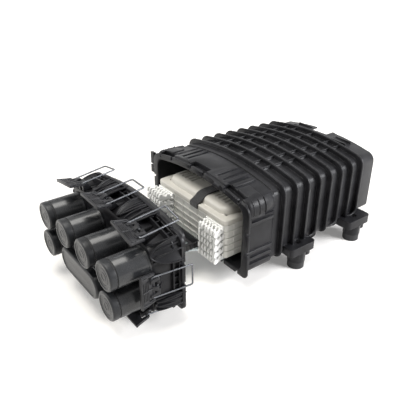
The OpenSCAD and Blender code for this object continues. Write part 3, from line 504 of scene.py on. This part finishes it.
# ---- Latches: levers, rivets and wire bails ----
LEVER_LEN, LEVER_T = 30, 3
PIN_HALF, HEAD_R, HEAD_T = 14.7, 2.7, 0.75
BAIL_REACH, BAIL_TILT, BAIL_END, BAIL_R = 61.776, 6.683, 9.7, 1.25
rivets = bmesh.new()
rivet_profile = [(0, -PIN_HALF - HEAD_T), (HEAD_R * 0.6, -PIN_HALF - HEAD_T * 0.9),
    (HEAD_R * 0.95, -PIN_HALF - HEAD_T * 0.45), (HEAD_R, -PIN_HALF), (WIRE_R, -PIN_HALF + 0.05),
    (WIRE_R, PIN_HALF - 0.05), (HEAD_R, PIN_HALF), (HEAD_R * 0.95, PIN_HALF + HEAD_T * 0.45),
    (HEAD_R * 0.6, PIN_HALF + HEAD_T * 0.9), (0, PIN_HALF + HEAD_T)]
along_y = Matrix.Rotation(math.radians(90), 4, "X")
for i in range(8):
    at_pivot = latch_frame(FACE_X, i) @ Matrix.Translation(PIVOT)
    turned(rivets, rivet_profile, at_pivot @ along_y, 20)
    at_lever = at_pivot @ Matrix.Rotation(math.radians(LEVER_TILT), 4, "Y")
    body = f"lever_{i + 1}"
    softened(f"{body}_moulding", body, lever_pa, body, 0.6)
    # Grip ridges near the tip, a thumb tab between the knuckles and a bead around the plate
    ridge = bmesh.new()
    prism(ridge, [(-0.7, 0), (-0.35, 0.8), (0.35, 0.8), (0.7, 0)], -15, 15)
    grip = grown(ridge, ROW, {"Count": 4, "Step": (2.6, 0, 0), "Shrink": (0, -0.02, 0),
        "Spread": (0, 0, 0), "Seed": 0}, lever_pa)
    moved(grip, at_lever @ Matrix.Translation((-LEVER_LEN + 5.5, 0, LEVER_T / 2 - 0.1)))
    tab = [(-12, 1.2), (-8.5, 4.6), (-5.5, 6.2), (-2.6, 6.4), (-2.2, 5.2), (-5, 4.6), (-6.8, 3),
        (-8, 1.2)]
    prism(grip, tab, -3.2, 3.2, at_lever)
    for side in (-1, 1):
        swept(grip, [(-LEVER_LEN + 1.2, side * 25.4, 2.4), (-24, side * 24.6, 2.2),
            (-9, side * 22.6, 1.9), (-7, side * 21.6, 1.7)], 0.8, at_lever, sides=6)
    piece(f"{body}_trim", grip, lever_pa, body, angle=30)
    at_bail = (at_pivot @ Matrix.Translation((-CRANK * math.cos(math.radians(LEVER_TILT)), 0,
        CRANK * math.sin(math.radians(LEVER_TILT)))) @ Matrix.Rotation(
        math.radians(-BAIL_TILT), 4, "Y"))
    wire = bmesh.new()
    corners = [(0, BAIL_END), (0, BAIL_HW), (BAIL_REACH, BAIL_HW), (BAIL_REACH, -BAIL_HW),
        (0, -BAIL_HW), (0, -BAIL_END)]
    verts = [wire.verts.new((x, y, 0)) for x, y in corners]
    for a, b in zip(verts, verts[1:]):
        wire.edges.new((a, b))
    wire = grown(wire, WIRE, {"Radius": BAIL_R, "Bend": 2.6, "Sides": 12}, wire_steel)
    piece(f"bail_{i + 1}_wire", moved(wire, at_bail), wire_steel, f"bail_{i + 1}",
        (f"bail_{i + 1}",), angle=60)
piece("latch_rivets", rivets, wire_steel, "base", ("latch_pins",), angle=50)

# ---- Base: flange, channel, gussets ----
softened("base_moulding", "base_plate", base_pp, "base", 0.7)
FLANGE_T, WALL_OUT, WALL_X, WALL_T = 6, 5.5, 17, 2
frame_bead = bmesh.new()
for inset, r in ((6.2, 1.5), (10.6, 1.0)):
    swept(frame_bead, [(FACE_X - FLANGE_T - 0.2, y, z) for y, z in outline(LIP_HW - inset,
        LIP_LOW + inset, FLANGE_TOP - inset, 16 - inset, 8 - min(inset, 5), 14)], r, closed=True)
# Channel wall in front of the flange, which the bails lie over
outer = outline(LIP_HW - WALL_OUT, LIP_LOW + WALL_OUT, LIP_TOP - WALL_OUT - 1, 12, 5, 14)
inner = outline(116.5, 37, 147.5, 12, 5, 14)
lofted(frame_bead, [[(FACE_X - WALL_X + x, y, z) for y, z in line] for x, line in
    ((0, outer), (WALL_T, outer), (WALL_T, inner), (0, inner))], closed=True)
piece("base_frame_beads", frame_bead, base_pp, "base", angle=40)
# Webs across the channel: along the crown they follow its arch, on the sides they are level
WEB_PITCH, WEB_HALF, WEB_FOOT_Z, WEB_DROP = 13.2, 0.8, 144, 7.5
SIDE_PITCH, SIDE_LOW_Z, SIDE_Y = 12.4, 45, (117, 122)
web_x = (FACE_X - WALL_X + 1, FACE_X - 5)
webs = bmesh.new()
for k in range(-8, 9):
    y = WEB_PITCH * k
    block(webs, (web_x[0], y - WEB_HALF, WEB_FOOT_Z),
        (web_x[1], y + WEB_HALF, crown(y, LIP_TOP) - WEB_DROP))
for side in (-1, 1):
    seed = bmesh.new()
    near, far = sorted(side * y for y in SIDE_Y)
    block(seed, (web_x[0], near, -WEB_HALF), (web_x[1], far, WEB_HALF))
    row = grown(seed, ROW, {"Count": 8, "Step": (0, 0, SIDE_PITCH), "Shrink": (0, 0, 0),
        "Spread": (0, 0, 0), "Seed": 0}, base_pp)
    webs = joined(webs, moved(row, Matrix.Translation((0, 0, SIDE_LOW_Z))))
piece("base_channel_webs", webs, base_pp, "base")


def leaf(bm, place, length, half, depth, start=5):
    """A petal-shaped gusset: broad at the flange, pointed in front, with a rim and a web."""
    skin, rims, steps = [], ([], []), 12
    for k in range(steps + 1):
        s = k / steps
        x, w = -start - length * s, half * max(1 - s**2.2, 0.02) ** 0.6
        n = -1.5 - depth * (1 - math.cos(math.pi / 2 * s**1.2))
        top = [(x, w * t, n - 1.6 * (1 - t * t)) for t in (-1, -0.6, -0.2, 0.2, 0.6, 1)]
        skin.append(top + [(a, b, c - 1.8) for a, b, c in reversed(top)])
        rims[0].append((x, -w, n))
        rims[1].append((x, w, n))
    lofted(bm, skin, place)
    swept(bm, rims[0] + rims[1][::-1], 1.3, place, sides=8)
    mid = [(x, n - 1.7) for x, _, n in rims[0]]
    prism(bm, [(x, n + 2.4 * (1 - k / steps)) for k, (x, n) in enumerate(mid)] + [(x, n - 1)
        for x, n in reversed(mid)], -0.9, 0.9, place)


# Gussets: place in (y, z), roll about X in degrees, length, half width and depth
gussets = bmesh.new()
for side in (-1, 1):
    for y, z, roll, length, half, depth in (
            (30, crown(30, FLANGE_TOP), 3.7, 42, 11, 9),
            (58.5, crown(58.5, FLANGE_TOP), 7.2, 30, 8, 8),
            (126, 131, 72, 43, 17, 8),
            (LIP_HW, 48, 90, 40, 9, 8)):
        place = Matrix.Translation((FACE_X, side * y, z)) @ Matrix.Rotation(
            math.radians(-side * roll), 4, "X")
        leaf(gussets, place, length, half, depth)
    # Shelves above and below the side latch
    for z in (57.5, 118.5):
        at = Matrix.Translation((FACE_X, side * 118, z)) @ Matrix.Rotation(
            math.radians(-side * 90), 4, "X")
        prism(gussets, [(-5, 0), (-5, 9), (-14, 8), (-30, 5), (-46, 3), (-46, 0)], -1, 1, at)
piece("base_gussets", gussets, base_pp, "base", angle=40)

# ---- Trays ----
TRAY_X, TRAY_LEN, TRAY_HW, TRAY_H, STACK_Z = FACE_X + 99, 186, 92, 12, 48
CREST_X, CREST_LEN, CREST_HW, CREST_Z, SLAB_Z = TRAY_X + 10, 162, 80, 127, 116


def rounded(x0, x1, hw, r, steps=6):
    """A rectangle with round corners, in (x, y)."""
    return (arc(x0 + r, -hw + r, r, 180, 270, steps) + arc(x1 - r, -hw + r, r, 270, 360, steps)
        + arc(x1 - r, hw - r, r, 0, 90, steps) + arc(x0 + r, hw - r, r, 90, 180, steps))


def plates(bm, levels, r, closed=False, cap=True):
    """Stacks rounded rectangles: each level is (inset from the tray's outline, height)."""
    lofted(bm, [[(x, y, z) for x, y in rounded(TRAY_X + s, TRAY_X + TRAY_LEN - s, TRAY_HW - s,
        max(r - s, 1))] for s, z in levels], closed=closed, caps=cap)


FINGERS, FINGER_PITCH, FINGER_T, FINGER_LEN = 6, 7.4, 4.4, 23
finger_shape = [(1, 0.3), (-FINGER_LEN + 4, 0.3), (-FINGER_LEN, 3.2), (-FINGER_LEN + 0.6, 8.6),
    (-FINGER_LEN + 2.2, 10.8), (-FINGER_LEN + 5.4, 11.2), (-FINGER_LEN + 5.6, 8.6),
    (-FINGER_LEN + 7.5, 7.0), (-10.5, 6.6), (-9.4, 9.8), (-5.8, 9.8), (-4.8, 6.6), (1, 6.6)]
for k in range(5):
    z = STACK_Z + TRAY_H * k
    name = f"tray_{k + 1}"
    shell = bmesh.new()
    plates(shell, [(3, z + 1.9), (3, z + TRAY_H - 0.9), (1.4, z + TRAY_H - 0.5),
        (0.3, z + TRAY_H - 0.5), (0, z + TRAY_H - 0.8), (0, z + TRAY_H - 2.4),
        (1, z + TRAY_H - 2.9), (1, z + 1.2), (0.5, z + 0.7), (0.9, z + 0.05)], 9)
    # Stiffening posts around the wall
    for side in (-1, 1):
        seed = bmesh.new()
        y = side * (TRAY_HW - 0.9)
        block(seed, (-1.2, y - 0.7, z + 0.6), (1.2, y + 0.7, z + TRAY_H - 2))
        posts = grown(seed, ROW, {"Count": 8, "Step": (21, 0, 0), "Shrink": (0, 0, 0),
            "Spread": (0, 0, 0), "Seed": 0}, tray_abs)
        shell = joined(shell, moved(posts, Matrix.Translation((TRAY_X + 20, 0, 0))))
    seed = bmesh.new()
    block(seed, (TRAY_X + 0.1, -1.1, z + 0.6), (TRAY_X + 2, 1.1, z + TRAY_H - 2))
    posts = grown(seed, ROW, {"Count": 5, "Step": (0, 20, 0), "Shrink": (0, 0, 0),
        "Spread": (0, 0, 0), "Seed": 0}, tray_abs)
    shell = joined(shell, moved(posts, Matrix.Translation((0, -40, 0))))
    # Fibre spools behind the wall
    for y in (-TRAY_HW / 2, TRAY_HW / 2):
        spool = Matrix.Translation((TRAY_X + TRAY_LEN / 2, y, z))
        turned(shell, [(24, 1.5), (26, 1.5), (26, TRAY_H - 2), (24, TRAY_H - 2)], spool, 40)
    piece(f"{name}_moulding", shell, tray_abs, "base", (name,))
    combs = bmesh.new()
    for side in (-1, 1):
        seed = bmesh.new()
        prism(seed, finger_shape, -FINGER_T / 2, FINGER_T / 2)
        # Each finger leans outward
        for v in seed.verts:
            v.co.y += -0.34 * v.co.x * side
        row = grown(seed, ROW, {"Count": FINGERS, "Step": (0, side * FINGER_PITCH, 0),
            "Shrink": (0, 0, 0), "Spread": (0.0, 0.0, 0.035), "Seed": 3 * k + side + 1}, comb_abs)
        y0 = side * (TRAY_HW - 6 - (FINGERS - 1) * FINGER_PITCH)
        combs = joined(combs, moved(row, Matrix.Translation((TRAY_X, y0, z))))
        lo, hi = sorted((y0 - side * 3, side * (TRAY_HW - 3)))
        block(combs, (TRAY_X - 3.6, lo, z + 0.3), (TRAY_X + 0.5, hi, z + 3))
        block(combs, (TRAY_X - 1.4, lo, z + 3), (TRAY_X + 0.5, hi, z + TRAY_H - 2.2))
    piece(f"{name}_combs", combs, comb_abs, "base")

# Lid: a thin moulding with soft edges and a raised crown with ridges along it
lid = bmesh.new()
LID_Z, LID_WALL, JOIN_IN = 108.2, 3.4, 14
plates(lid, [(LID_WALL, LID_Z), (LID_WALL, SLAB_Z - 2.4), (JOIN_IN, SLAB_Z - 2.4),
    (JOIN_IN, SLAB_Z - 0.01)], 8, cap=False)
plates(lid, [(LID_WALL, LID_Z), (0, LID_Z), (0, SLAB_Z - 1.8), (0.5, SLAB_Z - 0.7), (1.8, SLAB_Z),
    (13, SLAB_Z), (JOIN_IN, SLAB_Z - 0.01)], 8, cap=False)


def crest(s, z, r=18):
    return [(x, y, z) for x, y in
        rounded(CREST_X + s, CREST_X + CREST_LEN - s, CREST_HW - s, max(r - s, 2))]


crown_piece = [crest(0, SLAB_Z - 0.5), crest(0.4, SLAB_Z + 1), crest(1.4, SLAB_Z + 5),
    crest(3, SLAB_Z + 8), crest(5.6, SLAB_Z + 10), crest(9, SLAB_Z + 10.9), crest(14, SLAB_Z + 11)]
lofted(lid, crown_piece)
for side in (-1, 1):
    seed = bmesh.new()
    swept(seed, [(CREST_X + 16, 0, CREST_Z - 0.3), (CREST_X + 19, 0, CREST_Z + 0.3),
        (CREST_X + 60, 0, CREST_Z + 0.4), (CREST_X + CREST_LEN - 20, 0, CREST_Z + 0.3),
        (CREST_X + CREST_LEN - 17, 0, CREST_Z - 0.3)], 1.1, sides=8)
    ridges = grown(seed, ROW, {"Count": 5, "Step": (0, side * 8.5, 0), "Shrink": (0.0, 0, 0),
        "Spread": (0, 0, 0), "Seed": 0}, cover_abs)
    lid = joined(lid, moved(ridges, Matrix.Translation((0, side * 33, 0))))
piece("tray_cover_moulding", lid, cover_abs, "base", ("tray_cover",), angle=40)

# Strap: one woven band pulled over the lid, straight where it spans and folded at the edges
STRAP_Y, STRAP_HALF, STRAP_T = -14, 10, 1.7
route = [(TRAY_X - 1.1, 108.6), (TRAY_X - 1.1, 114.5), (TRAY_X - 0.4, 116.6),
    (TRAY_X + 1.5, 117.4),
    (CREST_X - 3, 120.5), (CREST_X + 4, 125.6), (CREST_X + 9, 128.3), (CREST_X + 20, 128.9),
    (CREST_X + 80, 128.9), (CREST_X + CREST_LEN - 20, 128.9), (CREST_X + CREST_LEN - 8, 128),
    (CREST_X + CREST_LEN - 2, 124.5), (CREST_X + CREST_LEN + 4, 119.4),
    (TRAY_X + TRAY_LEN - 1.5, 117.2), (TRAY_X + TRAY_LEN + 0.6, 116.4),
    (TRAY_X + TRAY_LEN + 1.1, 114),
    (TRAY_X + TRAY_LEN + 1.1, 80), (TRAY_X + TRAY_LEN + 1.1, 50)]
band = bmesh.new()
rings = []
for k, (x, z) in enumerate(route):
    (xa, za), (xb, zb) = route[max(k - 1, 0)], route[min(k + 1, len(route) - 1)]
    out = Vector((za - zb, xb - xa)).normalized() * (STRAP_T / 2)
    half = STRAP_HALF + 0.25 * math.sin(1.7 * k)
    edge = [(-1, 0.35), (-0.965, 1), (0.965, 1), (1, 0.35), (1, -0.35), (0.965, -1), (-0.965, -1),
        (-1, -0.35)]
    rings.append([(x + out.x * s, STRAP_Y + half * t, z + out.y * s) for t, s in edge])
lofted(band, rings)
piece("tray_strap_band", band, strap_nylon, "base", ("tray_strap",), angle=50)

# ---- Bracket, screws and slack basket ----
softened("bracket_sheet", "tray_bracket", zinc_sheet, "base", 0.4)
NECK_HW, NECK_R, CARRIER_X, CARRIER_HW = 38, 26, TRAY_X - 10, 88
hem = bmesh.new()
for side in (-1, 1):
    bend = [math.radians(10 * k) for k in range(1, 10)]
    path = [(CARRIER_X - NECK_R, side * NECK_HW)] + [(CARRIER_X - NECK_R + NECK_R * math.sin(a),
        side * (NECK_HW + NECK_R - NECK_R * math.cos(a))) for a in bend] + [
        (CARRIER_X, side * (CARRIER_HW - 6)), (CARRIER_X + 1.8, side * (CARRIER_HW - 1.8)),
        (CARRIER_X + 6, side * CARRIER_HW)]
    swept(hem, [(x + 0.8, y - side * 0.8, STACK_Z - 0.9) for x, y in path], 1.3, sides=10)
piece("bracket_hem", hem, zinc_sheet, "base", angle=60)
screws = bmesh.new()
head = [(0, -8), (2, -8), (2, 0), (4.3, 0), (4.3, 0.9), (3.9, 1.7), (2.9, 2.35), (1.7, 2.6),
    (1.6, 1.5), (0, 1.4)]
for x in (FACE_X - 30, FACE_X - 12):
    for y in (-28, 28):
        turned(screws, head, Matrix.Translation((x, y, STACK_Z)), 28)
piece("bracket_screw_heads", screws, screw_zinc, "base", ("bracket_screws",),
    angle=40)
softened("slack_basket_moulding", "slack_basket", basket_pp, "base", 0.4)
BASKET_X, BASKET_HW, BAR_LOW, BAR_HIGH = CARRIER_X - 65, 44, STACK_Z + 4.6, STACK_Z + 14.8
seed = bmesh.new()
for side in (-1, 1):
    block(seed, (-0.8, side * BASKET_HW - 0.9, BAR_LOW), (0.8, side * BASKET_HW + 0.9, BAR_HIGH))
bars = grown(seed, ROW, {"Count": 9, "Step": (7, 0, 0), "Shrink": (0, 0, 0), "Spread": (0, 0, 0),
    "Seed": 0}, basket_pp)
piece("slack_basket_bars", moved(bars, Matrix.Translation((BASKET_X + 4, 0, 0))), basket_pp,
    "base")

# ---- Stage ----
def white_to_camera(tree, lit, strength):
    """Adds light of its own to what the camera, glossy and transmission rays see."""
    path = put(tree, "ShaderNodeLightPath")
    seen = put(tree, "ShaderNodeMath", {"operation": "ADD"},
        {0: path.outputs["Is Camera Ray"], 1: path.outputs["Is Glossy Ray"]})
    seen = put(tree, "ShaderNodeMath", {"operation": "ADD", "use_clamp": True},
        {0: seen.outputs["Value"], 1: path.outputs["Is Transmission Ray"]})
    return put(tree, "ShaderNodeMath", {"operation": "MULTIPLY_ADD"},
        {0: seen.outputs["Value"], 1: strength - lit, 2: lit})


world = bpy.data.worlds.new("studio")
bpy.context.scene.world = world
world.use_nodes = True
world.node_tree.nodes.clear()
SKY_LIGHT, WHITE = 0.17, 1.0
sky = white_to_camera(world.node_tree, SKY_LIGHT, WHITE)
glow = put(world.node_tree, "ShaderNodeBackground", None,
    {"Color": (1.0, 1.0, 1.0, 1.0), "Strength": sky.outputs["Value"]})
put(world.node_tree, "ShaderNodeOutputWorld", None, {"Surface": glow.outputs["Background"]})

# Painted studio floor: white, with the object's soft shadow left on it
floor_mat = bpy.data.materials.new("painted_studio_floor")
floor_mat.use_nodes = True
floor_tree = floor_mat.node_tree
floor_tree.nodes.clear()
own = white_to_camera(floor_tree, 0.0, WHITE)
# Near the object the floor's own light is lower, so that its shadow stays; distances in metres
NEAR_M, FAR_M, NEAR_GLOW = 0.3, 1.1, 0.2
spot = put(floor_tree, "ShaderNodeVectorMath", {"operation": "LENGTH"},
    {0: put(floor_tree, "ShaderNodeTexCoord").outputs["Object"]})
fade = put(floor_tree, "ShaderNodeMapRange", {"interpolation_type": "SMOOTHSTEP"},
    {"Value": spot.outputs["Value"], "From Min": NEAR_M, "From Max": FAR_M, "To Min": NEAR_GLOW,
    "To Max": WHITE})
own = put(floor_tree, "ShaderNodeMath", {"operation": "MULTIPLY"},
    {0: own.outputs["Value"], 1: fade.outputs["Result"]})
matt = put(floor_tree, "ShaderNodeBsdfDiffuse", None, {"Color": linear("#f0eeeb")})
lift = put(floor_tree, "ShaderNodeEmission", None,
    {"Color": linear("#fffefc"), "Strength": own.outputs["Value"]})
both = put(floor_tree, "ShaderNodeAddShader", None, {0: matt.outputs[0], 1: lift.outputs[0]})
put(floor_tree, "ShaderNodeOutputMaterial", None, {"Surface": both.outputs[0]})

FLOOR_HALF = 6.0
floor_mesh = bpy.data.meshes.new("floor")
floor_mesh.from_pydata([(-FLOOR_HALF, -FLOOR_HALF, 0), (FLOOR_HALF, -FLOOR_HALF, 0),
    (FLOOR_HALF, FLOOR_HALF, 0), (-FLOOR_HALF, FLOOR_HALF, 0)], [], [(0, 1, 2, 3)])
floor_mesh.materials.append(floor_mat)
floor = bpy.data.objects.new("floor", floor_mesh)
bpy.context.scene.collection.objects.link(floor)


def lamp(name, at, to, size, watts, colour):
    light = bpy.data.lights.new(name, "AREA")
    light.shape = "RECTANGLE"
    light.size, light.size_y = size
    light.energy = watts
    light.color = linear(colour)[:3]
    holder = bpy.data.objects.new(name, light)
    holder.location = at
    holder.rotation_euler = (Vector(to) - Vector(at)).to_track_quat("-Z", "Y").to_euler()
    bpy.context.scene.collection.objects.link(holder)


lamp("top_softbox", (-0.5, 0.05, 1.4), (-0.18, 0, 0.1), (0.9, 0.8), 20, "#fffdf8")
lamp("left_softbox", (-1.5, 0.9, 1.0), (-0.1, 0, 0.1), (0.9, 0.8), 11, "#ffffff")
lamp("right_softbox", (0.9, -1.4, 0.9), (0, 0, 0.1), (0.9, 0.7), 58, "#fbfcff")

camera = bpy.data.cameras.new("camera")
camera.lens = 47.19
camera.sensor_width = 36
eye = bpy.data.objects.new("camera", camera)
eye.matrix_world = Matrix((
    (0.8007, 0.2886, -0.525, -0.6375),
    (-0.599, 0.3858, -0.7016, -0.6093),
    (0.0, 0.8763, 0.4818, 0.5253),
    (0, 0, 0, 1)))
bpy.context.scene.collection.objects.link(eye)
bpy.context.scene.camera = eye
bpy.context.scene.view_settings.view_transform = "Standard"

bpy.context.view_layer.update()
